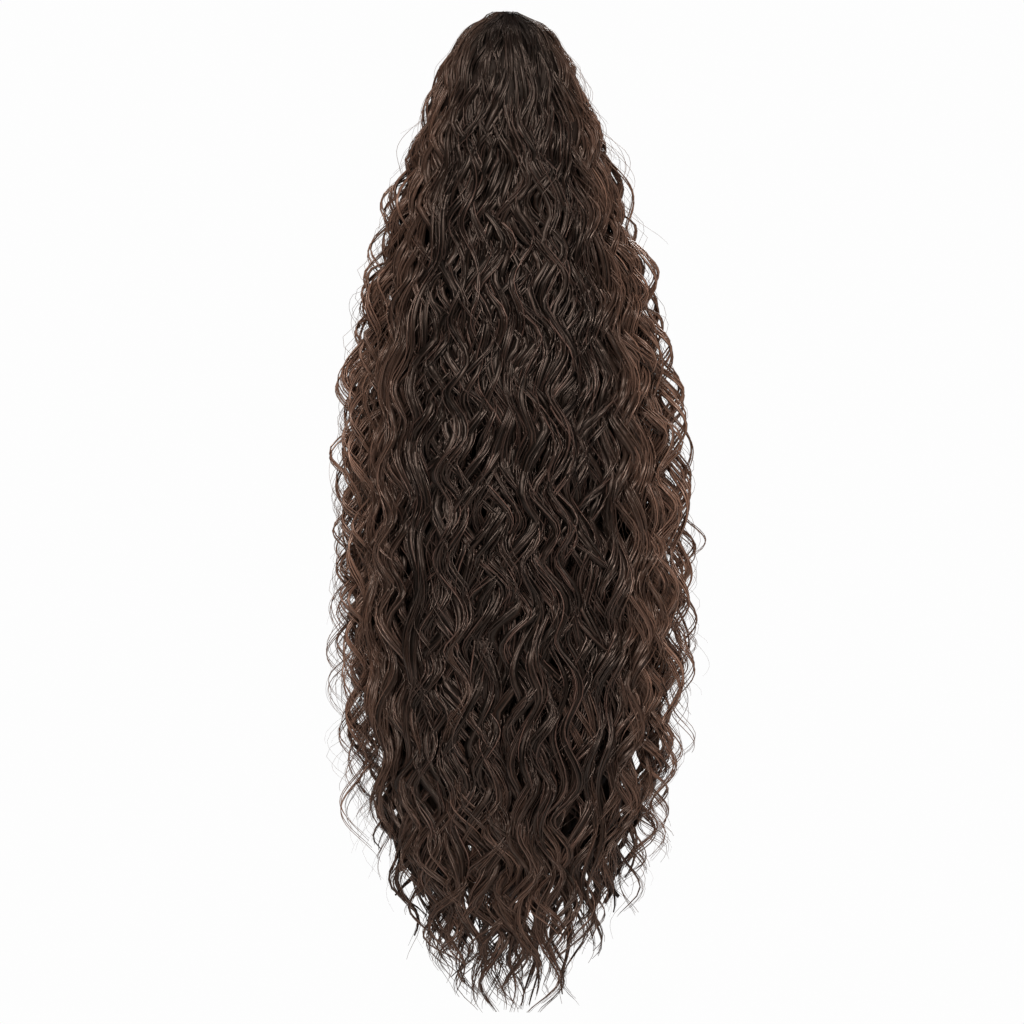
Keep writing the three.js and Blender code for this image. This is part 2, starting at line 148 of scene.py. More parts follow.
def smoothstep(value: np.ndarray, low: float, high: float) -> np.ndarray:
    """Rises smoothly from 0 at low to 1 at high."""
    t = np.clip((value - low) / (high - low), 0, 1)
    return t * t * (3 - 2 * t)


def sideways(turn: np.ndarray) -> np.ndarray:
    """How far hair at a turn from the front hangs at the side: 0 in front and behind, 1 at the side."""
    return smoothstep(np.abs(np.sin(turn)), 0.72, 1)


class Outline:
    """The hair's horizontal sections, read between the rows of the table."""

    def __init__(self, rows: tuple[OutlineRow, ...]) -> None:
        """Keeps the table's columns as arrays, lowest row first.

        Args:
            rows: the sections, in any order.
        """
        ordered = sorted(rows, key=lambda row: row.height)
        self.height = np.array([row.height for row in ordered])
        self.left = np.array([row.left for row in ordered], dtype=float)
        self.right = np.array([row.right for row in ordered], dtype=float)
        self.front = np.array([row.front for row in ordered], dtype=float)
        self.back = np.array([row.back for row in ordered], dtype=float)
        self.hem_share = np.array([2 * row.hem / (row.left + row.right) for row in ordered])

    def side_at(self, z: np.ndarray) -> np.ndarray:
        """Mean half width at heights z."""
        return np.interp(z, self.height, (self.left + self.right) / 2)

    def edge_at(self, x: np.ndarray, z: np.ndarray) -> np.ndarray:
        """How near a place is to the left or right edge: 0 on the middle line, 1 on the edge."""
        return np.abs(x) / self.side_at(z)

    def hem_at(self, turn: np.ndarray) -> np.ndarray:
        """Height at which hair that hangs at a turn from the front ends.

        Args:
            turn: angles round the hair from its front, in radians.

        Returns:
            Heights in millimetres.
        """
        lower = self.height < -480
        return np.interp(np.abs(np.sin(turn)), self.hem_share[lower], self.height[lower])

    def place(
        self, z: np.ndarray, turn: np.ndarray, share: np.ndarray
    ) -> tuple[np.ndarray, np.ndarray, np.ndarray]:
        """Places points on the sections.

        Args:
            z: heights in millimetres.
            turn: angles round the hair from its front, in radians.
            share: distance from the middle line as a share of the outline's.

        Returns:
            Points, sideways unit vectors and outward unit vectors.
        """
        sine, cosine = np.sin(turn), np.cos(turn)
        left, right = np.interp(z, self.height, self.left), np.interp(z, self.height, self.right)
        front, back = np.interp(z, self.height, self.front), np.interp(z, self.height, self.back)
        side = np.where(sine < 0, left, right)
        depth = np.where(cosine > 0, front, back)
        points = np.stack([side * share * sine, MIDDLE_LINE - depth * share * cosine, z], axis=-1)
        outward = np.stack([sine / side, -cosine / depth, np.zeros_like(z)], axis=-1)
        outward /= np.linalg.norm(outward, axis=-1, keepdims=True)
        across = np.stack([-outward[..., 1], outward[..., 0], np.zeros_like(z)], axis=-1)
        return points, across, outward


OUTLINE_SHAPE = Outline(OUTLINE)


@dataclass(frozen=True)
class Bundle:
    """How strands gather in a lock: its half sizes in millimetres and how far its members differ."""

    half_width: float
    half_thickness: float
    phase_jitter: float
    pitch_jitter: float
    sway_jitter: float
    end_jitter: float
    tint_jitter: float
    twist: float
    inner_share: float
    tip_gathering: float
    forward: float


LOCK_BUNDLE = Bundle(
    half_width=8.5,
    half_thickness=4.0,
    phase_jitter=0.045,
    pitch_jitter=0.005,
    sway_jitter=0.2,
    end_jitter=20,
    tint_jitter=0.25,
    twist=0.8,
    inner_share=0.25,
    tip_gathering=0.55,
    forward=0.0,
)
STRAND_BUNDLE = Bundle(
    half_width=3.3,
    half_thickness=2.3,
    phase_jitter=0.018,
    pitch_jitter=0.0015,
    sway_jitter=0.08,
    end_jitter=8,
    tint_jitter=0.85,
    twist=1.5,
    inner_share=0.45,
    tip_gathering=0.82,
    forward=1.3,
)
FRINGE_BUNDLE = Bundle(
    half_width=1.6,
    half_thickness=1.4,
    phase_jitter=0.03,
    pitch_jitter=0.004,
    sway_jitter=0.12,
    end_jitter=14,
    tint_jitter=0.3,
    twist=1.8,
    inner_share=0.1,
    tip_gathering=0.5,
    forward=0.0,
)
TIP_BUNDLE = Bundle(
    half_width=2.4,
    half_thickness=1.8,
    phase_jitter=0.02,
    pitch_jitter=0.004,
    sway_jitter=0.08,
    end_jitter=10,
    tint_jitter=0.3,
    twist=1.4,
    inner_share=0.2,
    tip_gathering=0.85,
    forward=0.0,
)


@dataclass
class Routes:
    """Where each strand of a set runs: one value per strand, and the offsets that its bundles give it."""

    turn: np.ndarray
    share: np.ndarray
    top: np.ndarray
    end: np.ndarray
    phase: np.ndarray
    pitch: np.ndarray
    sway: np.ndarray
    lift: np.ndarray
    flick: np.ndarray
    wander: np.ndarray
    tint: np.ndarray
    girth: np.ndarray
    bundles: list[tuple[np.ndarray, ...]] = field(default_factory=list)

    def picked(self, chosen: np.ndarray) -> "Routes":
        """Keeps some of the routes.

        Args:
            chosen: a true or false value, or a place, for each one kept.

        Returns:
            The chosen routes.
        """
        values = {name: getattr(self, name)[chosen] for name in ROUTE_VALUES}
        return Routes(**values, bundles=[tuple(part[chosen] for part in one) for one in self.bundles])

    def branch(self, rng: np.random.Generator, count: int, bundle: Bundle) -> "Routes":
        """Splits each route into a bundle of similar ones.

        Args:
            rng: source of random draws.
            count: members in each bundle.
            bundle: sizes and looseness of the bundle.

        Returns:
            The members' routes, with this bundle's offsets added to those of the routes they split from.
        """
        bundles = len(self.turn)
        members = self.picked(np.repeat(np.arange(bundles), count))
        size = bundles * count
        members.phase = members.phase + rng.normal(0, bundle.phase_jitter, size)
        members.pitch = members.pitch * (1 + rng.normal(0, bundle.pitch_jitter, size))
        members.sway = members.sway * (1 + rng.normal(0, bundle.sway_jitter, size))
        members.end = np.maximum(members.end + rng.normal(0, bundle.end_jitter, size), TAIL_END)
        members.flick = members.flick + rng.normal(0, 1.4, size)
        members.tint = members.tint + rng.normal(0, bundle.tint_jitter, size)
        members.girth = rng.lognormal(0, 0.22, size)
        place = np.tile(np.arange(count), bundles) / count
        around = 2 * math.pi * (place + np.repeat(rng.random(bundles), count))
        reach = np.sqrt(rng.uniform(bundle.inner_share, 1, size)) * (1 - 0.4 * sideways(members.turn))
        twist = np.repeat(rng.choice([-1, 1], bundles), count) * bundle.twist
        members.bundles.append(
            (
                bundle.half_width * reach,
                bundle.half_thickness * reach,
                around + rng.normal(0, 0.3, size),
                twist * rng.uniform(0.6, 1.4, size),
                np.full(size, bundle.tip_gathering),
                np.full(size, bundle.forward),
            )
        )
        return members

    def angle_at(self, z: np.ndarray) -> np.ndarray:
        """How far round its wave each strand is, in radians.

        Args:
            z: heights in millimetres.

        Returns:
            Angles, which grow a little faster or slower on the way.
        """
        w = self.wander
        drift = 0.1 * np.sin(z / 37 + 6.3 * w[:, 2:3]) + 0.03 * np.sin(z / 17 + 6.3 * w[:, 3:4])
        return 2 * math.pi * (self.phase[:, None] - z / self.pitch[:, None] + drift)

    def trace(self, steps: int) -> tuple[np.ndarray, np.ndarray, np.ndarray, np.ndarray]:
        """Works out the strands' middle lines.

        Args:
            steps: points along each strand.

        Returns:
            Points, sideways and outward unit vectors, and the share of the way from root to tip.
        """
        pace = np.linspace(0, 1, steps)
        along = pace - ROOT_CROWDING * (1 - np.exp(-pace / ROOT_CROWDING))
        along = (1 - (1 - along / along[-1]) ** TIP_CROWDING)[None, :]
        z = self.top[:, None] + (self.end - self.top)[:, None] * along
        flatness = (self.sway**2 - self.lift**2) / (self.sway**2 + self.lift**2)
        crowding = CREST_CROWDING * (flatness * self.pitch)[:, None] / (4 * math.pi)
        z[:, 1:-1] -= (crowding * np.sin(2 * self.angle_at(z)))[:, 1:-1]
        along = (self.top[:, None] - z) / (self.top - self.end)[:, None]
        w = self.wander
        turn = self.turn[:, None] + 0.05 * smoothstep(-z, -30, 200) * np.sin(z / 47 + 6.3 * w[:, 0:1])
        inward = smoothstep(-z, 20, 110)
        between = np.where(self.top < CROWN_TOP - 5, TUCK_DEPTH, 0)[:, None]
        tuck = between * (1 - smoothstep(along, 0, 0.07))
        share = 1 + (self.share[:, None] - 1) * (0.35 + 0.65 * inward) - tuck
        share = share + 0.018 * inward * np.sin(z / 29 + 6.3 * w[:, 1:2])
        points, across, outward = OUTLINE_SHAPE.place(z, turn, share)
        angle = self.angle_at(z)
        curl = smoothstep(along, CURL_START, 1)
        growth = smoothstep(-z, -WAVES_BEGIN, -WAVES_FULL)
        loose = CROWN_LOOSENESS + (1 - CROWN_LOOSENESS) * growth
        swell = loose * (1 + 0.2 * np.sin(z / 51 + 6.3 * w[:, 4:5])) * (1 + CURL_GROWTH * curl)
        sway = self.sway[:, None] * swell * (np.sin(angle) + 0.1 * np.sin(2 * angle + 6.3 * w[:, 5:6]))
        lift = self.lift[:, None] * swell * np.cos(angle + 1.2 * (w[:, 5:6] - 0.5))
        sway = sway + self.flick[:, None] * smoothstep(along, 0.93, 1.01)
        points = points + across * sway[..., None] + outward * lift[..., None]
        room = np.clip(OUTLINE_SHAPE.side_at(z) / FULLEST_SIDE, 0.05, 1)
        drawn = smoothstep(along, GATHER_START, GATHER_END)
        for half_width, half_thickness, around, twist, gathering, forward in self.bundles:
            wound = around[:, None] + twist[:, None] * z / TWIST_LENGTH
            spread = room * (1 - gathering[:, None] * drawn)
            wide = half_width[:, None] * spread * np.cos(wound)
            thick = (half_thickness[:, None] * np.sin(wound) + forward[:, None]) * spread
            points = points + across * wide[..., None] + outward * thick[..., None]
        return points, across, outward, along


ROUTE_VALUES = tuple(name for name in Routes.__dataclass_fields__ if name != "bundles")


@dataclass(frozen=True)
class TubeSize:
    """A strand's half width and half thickness in millimetres, its sides and the points along it."""

    half_width: float
    half_thickness: float
    sides: int
    steps: int
    root_share: float = 0.5
    tip_share: float = 0.12
    taper: float = 0.3


class HairMesh:
    """Gathers closed strands as arrays and makes them one mesh."""

    def __init__(self, piece: Piece) -> None:
        """Starts an empty mesh.

        Args:
            piece: the piece of hair that it becomes.
        """
        self.piece = piece
        self.points: list[np.ndarray] = []
        self.loops: list[np.ndarray] = []
        self.loop_counts: list[np.ndarray] = []
        self.flow: list[np.ndarray] = []
        self.shades: dict[str, list[np.ndarray]] = {"tint": [], "reach": [], "edge": []}
        self.total = 0

    def add(self, routes: Routes, size: TubeSize) -> None:
        """Adds a closed tube along each route.

        Args:
            routes: where the strands run.
            size: their thickness and fineness.
        """
        centre, _, outward, along = routes.trace(size.steps)
        strands, steps = along.shape
        sides = size.sides
        ahead = np.gradient(centre, axis=1)
        ahead /= np.linalg.norm(ahead, axis=-1, keepdims=True)
        across = np.cross(outward, ahead)
        across /= np.linalg.norm(across, axis=-1, keepdims=True)
        raised = np.cross(ahead, across)
        room = np.clip(OUTLINE_SHAPE.side_at(centre[..., 2]) / FULL_GIRTH_SIDE, 0.14, 1) ** 0.8
        swell = np.minimum(1, size.root_share + along * 6) * np.minimum(
            1, size.tip_share + (1 - size.tip_share) * ((1 - along) / size.taper) ** 0.8
        )
        swell = swell * room * routes.girth[:, None]
        corner = 2 * math.pi * np.arange(sides) / sides - math.pi / 2
        wide = (size.half_width * swell)[..., None, None] * across[:, :, None, :]
        thick = (size.half_thickness * swell)[..., None, None] * raised[:, :, None, :]
        ring = (
            centre[:, :, None, :]
            + wide * np.cos(corner)[None, None, :, None]
            + thick * np.sin(corner)[None, None, :, None]
        )
        self.points.append((ring * MM).reshape(-1, 3))
        # mask for the painted backlight: how near each point is to the hair's left or right edge
        edge = OUTLINE_SHAPE.edge_at(centre[..., 0], centre[..., 2])
        self.shades["tint"].append(np.repeat(routes.tint, steps * sides))
        self.shades["reach"].append(np.repeat(along.reshape(-1), sides))
        self.shades["edge"].append(np.repeat(smoothstep(edge, 0.56, 1.14).reshape(-1), sides))

        index = self.total + np.arange(strands * steps * sides).reshape(strands, steps, sides)
        after = np.roll(index, -1, axis=2)
        quads = np.stack([index[:, :-1], after[:, :-1], after[:, 1:], index[:, 1:]], axis=-1)
        self.loops.append(quads.reshape(-1))
        self.loop_counts.append(np.full(quads.size // 4, 4))
        self.loops.append(index[:, 0, ::-1].reshape(-1))
        self.loops.append(index[:, -1, :].reshape(-1))
        self.loop_counts.append(np.full(2 * strands, sides))

        length = np.linalg.norm(np.diff(centre, axis=1), axis=-1).cumsum(axis=1)
        length = np.concatenate([np.zeros((strands, 1)), length], axis=1) / FLOW_UNIT
        around = np.arange(sides + 1) / sides
        low = np.broadcast_to(around[:-1], (strands, steps - 1, sides))
        high = np.broadcast_to(around[1:], (strands, steps - 1, sides))
        start = np.broadcast_to(length[:, :-1, None], low.shape)
        stop = np.broadcast_to(length[:, 1:, None], low.shape)
        corners = np.stack(
            [
                np.stack([start, low], axis=-1),
                np.stack([start, high], axis=-1),
                np.stack([stop, high], axis=-1),
                np.stack([stop, low], axis=-1),
            ],
            axis=-2,
        )
        self.flow.append(corners.reshape(-1, 2))
        self.flow.append(np.zeros((2 * strands * sides, 2)))
        self.total += strands * steps * sides

    def build(self, material: bpy.types.Material) -> bpy.types.Object:
        """Makes the mesh object.

        Args:
            material: the finish of the strands.

        Returns:
            The object, at the origin, linked to the scene.
        """
        points = np.concatenate(self.points)
        loops = np.concatenate(self.loops)
        counts = np.concatenate(self.loop_counts)
        mesh = bpy.data.meshes.new(self.piece.value)
        mesh.vertices.add(len(points))
        mesh.vertices.foreach_set("co", points.astype(np.float32).reshape(-1))
        mesh.loops.add(len(loops))
        mesh.loops.foreach_set("vertex_index", loops.astype(np.int32))
        mesh.polygons.add(len(counts))
        starts = np.concatenate([[0], np.cumsum(counts)[:-1]])
        mesh.polygons.foreach_set("loop_start", starts.astype(np.int32))
        mesh.polygons.foreach_set("use_smooth", np.ones(len(counts), dtype=bool))
        mesh.uv_layers.new(name="flow").data.foreach_set(
            "uv", np.concatenate(self.flow).astype(np.float32).reshape(-1)
        )
        for name, parts in self.shades.items():
            layer = mesh.attributes.new(name, "FLOAT", "POINT")
            layer.data.foreach_set("value", np.concatenate(parts).astype(np.float32))
        mesh.update(calc_edges=True)
        mesh.materials.append(material)
        obj = bpy.data.objects.new(self.piece.value, mesh)
        bpy.context.scene.collection.objects.link(obj)
        return obj


def add_node(
    tree: bpy.types.NodeTree, kind: str, settings: dict | None = None, links: dict | None = None
) -> bpy.types.Node:
    """Adds a shader node.

    Args:
        tree: the material's node tree.
        kind: the node's type name.
        settings: attributes, or input sockets' values by name, to set on it.
        links: output sockets to join to its inputs, by the input's name.

    Returns:
        The new node.
    """
    node = tree.nodes.new(kind)
    for name, value in (settings or {}).items():
        if name in node.inputs:
            node.inputs[name].default_value = value
        else:
            setattr(node, name, value)
    for name, source in (links or {}).items():
        tree.links.new(source, node.inputs[name])
    return node


def new_material(name: str) -> tuple[bpy.types.Material, bpy.types.NodeTree, bpy.types.Node]:
    """Makes a material with one Principled surface.

    Args:
        name: the real material's name.

    Returns:
        The material, its node tree and its Principled node.
    """
    material = bpy.data.materials.new(name)
    material.use_nodes = True
    tree = material.node_tree
    tree.nodes.clear()
    surface = add_node(tree, "ShaderNodeBsdfPrincipled")
    add_node(tree, "ShaderNodeOutputMaterial", links={"Surface": surface.outputs["BSDF"]})
    return material, tree, surface


@dataclass(frozen=True)
class CurledFibre:
    """Heat-set hair fibre, dark brown: a satin gloss across the waves, in fine streaks along the locks."""

    name: str
    shadow: str
    body: str
    shine: str
    # painted backlight: the lighter, warmer brown that the streaks blend to near the hair's left and right
    # edges and at the tips
    painted_backlight: str
    streaks_across: float  # round one strand or lock
    roughness: float
    gloss: float
    streaks_along: float = 2.6  # in 100 mm of a lock, so that a streak fades after about 38 mm
    lock_shift: float = 53.0  # sets the streaks of locks with different tints far apart
    tint_effect: float = 0.46
    painted_root_shade: float = 0.45  # painted shade: how dark hair is painted where it leaves the dome or the locks round it
    root_reach: float = 0.13  # share of the way to the tip on which that shade fades
    # shares of the painted backlight colour mixed in at the hair's left and right edges and at the tips
    edge_backlight: float = 0.7
    tip_backlight: float = 0.3
    relief: float = 0.0004  # four tenths of a millimetre, a few fibres deep
    sheen: str = "ffdfcc"  # the shine of brown fibre is a little warm

    def make(self) -> bpy.types.Material:
        """Makes the fibre's material.

        Returns:
            The material, which reads the mesh's flow map, its tint, its reach from root to tip and how near
            the hair's edge it is.
        """
        material, tree, surface = new_material(self.name)
        flow = add_node(tree, "ShaderNodeUVMap", {"uv_map": "flow"})
        tint = add_node(tree, "ShaderNodeAttribute", {"attribute_name": "tint"})
        edge = add_node(tree, "ShaderNodeAttribute", {"attribute_name": "edge"})
        reach = add_node(tree, "ShaderNodeAttribute", {"attribute_name": "reach"})
        place = add_node(tree, "ShaderNodeSeparateXYZ", links={"Vector": flow.outputs["UV"]})
        along = self.scaled(tree, place.outputs["X"], self.streaks_along)
        around = self.scaled(tree, place.outputs["Y"], self.streaks_across)
        apart = self.scaled(tree, tint.outputs["Fac"], self.lock_shift)
        spot = add_node(tree, "ShaderNodeCombineXYZ", links={"X": along, "Y": around, "Z": apart})
        streak = add_node(
            tree,
            "ShaderNodeTexNoise",
            {"Scale": 1.0, "Detail": 1.5, "Roughness": 0.55},
            {"Vector": spot.outputs["Vector"]},
        )
        ramp = add_node(tree, "ShaderNodeValToRGB", links={"Fac": streak.outputs["Fac"]})
        ramp.color_ramp.elements[0].position = 0.38
        ramp.color_ramp.elements[0].color = linear(self.shadow)
        ramp.color_ramp.elements[1].position = 0.66
        ramp.color_ramp.elements[1].color = linear(self.shine)
        ramp.color_ramp.elements.new(0.5).color = linear(self.body)
        # painted backlight: the streaks' colour blends to a lighter, warmer brown near the hair's left and
        # right edges and towards the tips
        thin = add_node(tree, "ShaderNodeMix", {"data_type": "RGBA"}, {6: ramp.outputs["Color"]})
        thin.inputs[7].default_value = linear(self.painted_backlight)
        tip = add_node(
            tree,
            "ShaderNodeMapRange",
            {"From Min": CURL_START, "To Max": self.tip_backlight},
            {"Value": reach.outputs["Fac"]},
        )
        backlight_share = add_node(
            tree,
            "ShaderNodeMath",
            {"operation": "MAXIMUM"},
            {0: self.scaled(tree, edge.outputs["Fac"], self.edge_backlight), 1: tip.outputs["Result"]},
        )
        tree.links.new(backlight_share.outputs[0], thin.inputs[0])
        value = self.scaled(tree, tint.outputs["Fac"], self.tint_effect, 1.0)
        # painted shade at the roots, darkest where the hair leaves the dome or the locks round it
        root_shading = add_node(
            tree,
            "ShaderNodeMapRange",
            {"From Max": self.root_reach, "To Min": self.painted_root_shade},
            {"Value": reach.outputs["Fac"]},
        )
        value = add_node(
            tree, "ShaderNodeMath", {"operation": "MULTIPLY"}, {0: value, 1: root_shading.outputs["Result"]}
        ).outputs[0]
        shade = add_node(tree, "ShaderNodeHueSaturation", links={"Color": thin.outputs[2], "Value": value})
        tree.links.new(shade.outputs["Color"], surface.inputs["Base Color"])
        bump = add_node(
            tree,
            "ShaderNodeBump",
            {"Strength": 0.5, "Distance": self.relief},
            {"Height": streak.outputs["Fac"]},
        )
        tree.links.new(bump.outputs["Normal"], surface.inputs["Normal"])
        run = add_node(tree, "ShaderNodeTangent", {"direction_type": "UV_MAP", "uv_map": "flow"})
        tree.links.new(run.outputs["Tangent"], surface.inputs["Tangent"])
        surface.inputs["Anisotropic"].default_value = 0.7
        surface.inputs["Anisotropic Rotation"].default_value = 0.25  # a quarter turn from the strand's run
        surface.inputs["Roughness"].default_value = self.roughness
        surface.inputs["Specular IOR Level"].default_value = self.gloss
        surface.inputs["Specular Tint"].default_value = linear(self.sheen)
        surface.inputs["IOR"].default_value = 1.55
        return material

    @staticmethod
    def scaled(
        tree: bpy.types.NodeTree, source: bpy.types.NodeSocket, by: float, plus: float = 0.0
    ) -> bpy.types.NodeSocket:
        """Adds a node that multiplies a value and adds to it.

        Args:
            tree: the material's node tree.
            source: the value's socket.
            by: what it is multiplied by.
            plus: what is added then.

        Returns:
            The result's socket.
        """
        node = add_node(tree, "ShaderNodeMath", {"operation": "MULTIPLY_ADD"}, {0: source})
        node.inputs[1].default_value = by
        node.inputs[2].default_value = plus
        return node.outputs[0]


# Single strands catch the light along the crests of their waves, and a painted backlight makes them lighter
# and warmer at the hair's edge and at their tips.
STRAND_FIBRE = CurledFibre(
    name="dark_brown_curled_fibre",
    shadow="080504",
    body="1c120e",
    shine="44312a",
    painted_backlight="7e5d4c",
    streaks_across=3.0,
    roughness=0.33,
    gloss=0.57,
)
# Strands gathered in a lock, painted darker than the single strands as shade deep among the locks: many
# fine streaks with painted shade almost black between them, and a duller shine.
LOCK_FIBRE = CurledFibre(
    name="shaded_gathered_fibre",
    shadow="010101",
    body="090604",
    shine="2d201a",
    painted_backlight="5c4337",
    streaks_across=11.0,
    roughness=0.38,
    gloss=0.3,
)
# The same fibre in the shade of the outer locks: a broad, matt, darker ground.
UNDER_FIBRE = CurledFibre(
    name="shaded_curled_fibre",
    shadow="010101",
    body="080504",
    shine="1c1410",
    painted_backlight="2c1f18",
    streaks_across=26.0,
    roughness=0.5,
    gloss=0.12,
)


@dataclass(frozen=True)
class PlainFinish:
    """A cloth or plastic finish with an even colour and a fine relief."""

    name: str
    colour: str
    roughness: float
    relief_mm: float
    relief_strength: float

    def make(self) -> bpy.types.Material:
        """Makes the finish's material.

        Returns:
            The material, its relief drawn on Object coordinates.
        """
        material, tree, surface = new_material(self.name)
        where = add_node(tree, "ShaderNodeTexCoord")
        grain = add_node(
            tree,
            "ShaderNodeTexNoise",
            {"Scale": 1 / (self.relief_mm * MM), "Detail": 3.0},
            {"Vector": where.outputs["Object"]},
        )
        bump = add_node(
            tree,
            "ShaderNodeBump",
            {"Strength": self.relief_strength, "Distance": self.relief_mm * MM},
            {"Height": grain.outputs["Fac"]},
        )
        tree.links.new(bump.outputs["Normal"], surface.inputs["Normal"])
        surface.inputs["Base Color"].default_value = linear(self.colour)
        surface.inputs["Roughness"].default_value = self.roughness
        return material


# Strands packed into one mass, painted matt and nearly black as shade, so that gaps between the locks look
# deep.
PACKED_FIBRE = PlainFinish("packed_fibre_painted_shade", "0c0806", 0.7, 2.0, 0.6)


@dataclass(frozen=True)
class WaveSize:
    """The locks' waves and ends in millimetres: the usual value, and how far locks differ from it."""

    length: float = 65.0
    length_spread: float = 2.4
    sway: float = 6.3
    sway_spread: float = 1.7
    lift: float = 3.4
    lift_spread: float = 0.9
    side_lift: float = 5.4  # how much more the locks at the sides curl in and out
    flick_spread: float = 6.0
    phase_spread: float = 0.14
    tint_spread: float = 0.22
    end_rise: float = 52.0  # how far above the hem a lock ends on average
    highest_rise: float = 190.0
    hem_gap: float = 4.0
    shortest: float = 90.0


@dataclass
class Hair:
    """The crown and tail of wavy hair: a core painted dark as shade, locks over it, and single strands over
    those.

    The counts say how many there are of each, and seed starts the random draws. The core is as wide as
    its share of the outline, and rounds off below a height. Heights and lengths are millimetres.
    """

    front_locks: int = 62
    back_locks: int = 30
    under_locks: int = 58
    fringe_locks: int = 24
    tip_locks: int = 30
    strays: int = 130
    crown_strays: int = 36
    core_share: float = 0.66
    core_rounds_from: float = -470.0
    core_rounding: float = 100.0
    wave: WaveSize = WaveSize()
    seed: int = 4

    def __post_init__(self) -> None:
        """Sets up the random draws and the finishes."""
        self.rng = np.random.default_rng(self.seed)
        self.strand_fibre = STRAND_FIBRE.make()
        self.lock_fibre = LOCK_FIBRE.make()
        self.under_fibre = UNDER_FIBRE.make()

    def routes(self, turns: np.ndarray, shares: np.ndarray, tops: np.ndarray) -> Routes:
        """Draws the waves of a set of locks.

        Args:
            turns: angles round the hair, in radians.
            shares: distances from the middle line as shares of the outline's.
            tops: heights of the roots, in millimetres.

        Returns:
            The locks' routes.
        """
        rng = self.rng
        wave = self.wave
        count = len(turns)
        rise = np.minimum(rng.exponential(wave.end_rise, count), wave.highest_rise)
        ends = OUTLINE_SHAPE.hem_at(turns) + rise + wave.hem_gap
        ends = np.minimum(ends, tops - wave.shortest)
        curling = wave.side_lift * sideways(turns)
        together = 0.45 * np.sin(2.3 * turns + 1) + 0.3 * np.sin(5.1 * turns + 2.2)
        return Routes(
            turn=turns,
            share=shares,
            top=tops,
            end=np.maximum(ends, TAIL_END),
            phase=0.5 + together + rng.normal(0, wave.phase_spread, count),
            pitch=wave.length + 3.2 * np.sin(3.1 * turns + 0.7) + rng.normal(0, wave.length_spread, count),
            sway=rng.normal(wave.sway, wave.sway_spread, count) * (1 - 0.2 * sideways(turns)),
            lift=(rng.normal(wave.lift, wave.lift_spread, count) + curling) * rng.choice([-1, 1], count),
            flick=rng.normal(0, wave.flick_spread, count),
            wander=rng.random((count, 6)),
            tint=rng.normal(0, wave.tint_spread, count),
            girth=np.ones(count),
        )

    def spaced_turns(self, count: int, low: float, high: float) -> np.ndarray:
        """Spreads turns evenly along the outline, with a little disorder.

        Args:
            count: how many.
            low: lowest turn in degrees.
            high: highest turn in degrees.

        Returns:
            Turns in radians.
        """
        half_width, half_depth = 121, 66  # the tail's section at its fullest, in millimetres
        fine = np.radians(np.linspace(low, high, 721))
        x, y = half_width * np.sin(fine), half_depth * np.cos(fine)
        length = np.concatenate([[0], np.cumsum(np.hypot(np.diff(x), np.diff(y)))])
        wanted = (np.arange(count) + self.rng.uniform(0.1, 0.9, count)) / count * length[-1]
        return np.interp(wanted, length, fine)

    def declare(self, obj: bpy.types.Object) -> None:
        """Ties a piece of hair to the frame.

        Args:
            obj: the piece's object.
        """
        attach(obj, "root")
        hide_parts("crown_hair", "tail_hair")
        obj.data.calc_loop_triangles()
        LOG.info("made %s with %d triangles", obj.name, len(obj.data.loop_triangles))

    def build_core(self) -> None:
        """Models the mass inside the tail, painted nearly black as shade: a disc drawn down ring by ring,
        closed at both ends.
        """
        heights = (-47, -63, -101, -142, -189, -250, -325, -407, -484, -520, -545, -560, -568)
        share = np.full(2, self.core_share)
        rings = []
        for height in heights:
            level = np.full(2, height)
            sides, _, _ = OUTLINE_SHAPE.place(level, np.array([-math.pi / 2, math.pi / 2]), share)
            depths, _, _ = OUTLINE_SHAPE.place(level, np.array([0, math.pi]), share)
            below = min(0, height - self.core_rounds_from) / self.core_rounding
            hang = math.sqrt(max(0.05, 1 - below**2))
            half_side, half_depth = np.ptp(sides[:, 0]) / 2 * hang, np.ptp(depths[:, 1]) / 2 * hang
            rings.append((half_side, half_depth, depths[:, 1].mean(), height))
        bpy.ops.object.select_all(action="DESELECT")
        bpy.ops.mesh.primitive_circle_add(vertices=36, radius=1, fill_type="NGON", location=(0, 0, 0))
        core = bpy.context.active_object
        core.name = Piece.CORE.value
        bpy.ops.object.mode_set(mode="EDIT")
        bpy.ops.mesh.select_all(action="SELECT")
        half_side, half_depth, middle, height = rings[0]
        bpy.ops.transform.resize(value=(half_side * MM, half_depth * MM, 1))
        bpy.ops.transform.translate(value=(0, middle * MM, height * MM))
        for before, ring in zip(rings, rings[1:]):
            step = (0, (ring[2] - before[2]) * MM, (ring[3] - before[3]) * MM)
            bpy.ops.mesh.extrude_region_move(TRANSFORM_OT_translate={"value": step})
            bpy.ops.transform.resize(value=(ring[0] / before[0], ring[1] / before[1], 1))
        bpy.ops.mesh.select_all(action="SELECT")
        bpy.ops.mesh.normals_make_consistent(inside=False)
        bpy.ops.object.mode_set(mode="OBJECT")
        bpy.ops.object.shade_smooth()
        core.data.materials.append(PACKED_FIBRE.make())
        self.declare(core)

    def build_root_pad(self) -> None:
        """Models the small pad of hair roots that closes the crown's top over the dome."""
        bpy.ops.object.select_all(action="DESELECT")
        bpy.ops.mesh.primitive_uv_sphere_add(segments=24, ring_count=12, radius=1, location=(0, 0, 0))
        pad = bpy.context.active_object
        pad.name = Piece.ROOT_PAD.value
        bpy.ops.object.mode_set(mode="EDIT")
        bpy.ops.mesh.select_all(action="SELECT")
        bpy.ops.transform.resize(value=(11 * MM, 4.2 * MM, 4 * MM))
        bpy.ops.transform.translate(value=(-4 * MM, (MIDDLE_LINE - 0.5) * MM, 38 * MM))
        bpy.ops.object.mode_set(mode="OBJECT")
        bpy.ops.object.shade_smooth()
        pad.data.materials.append(PACKED_FIBRE.make())
        self.declare(pad)

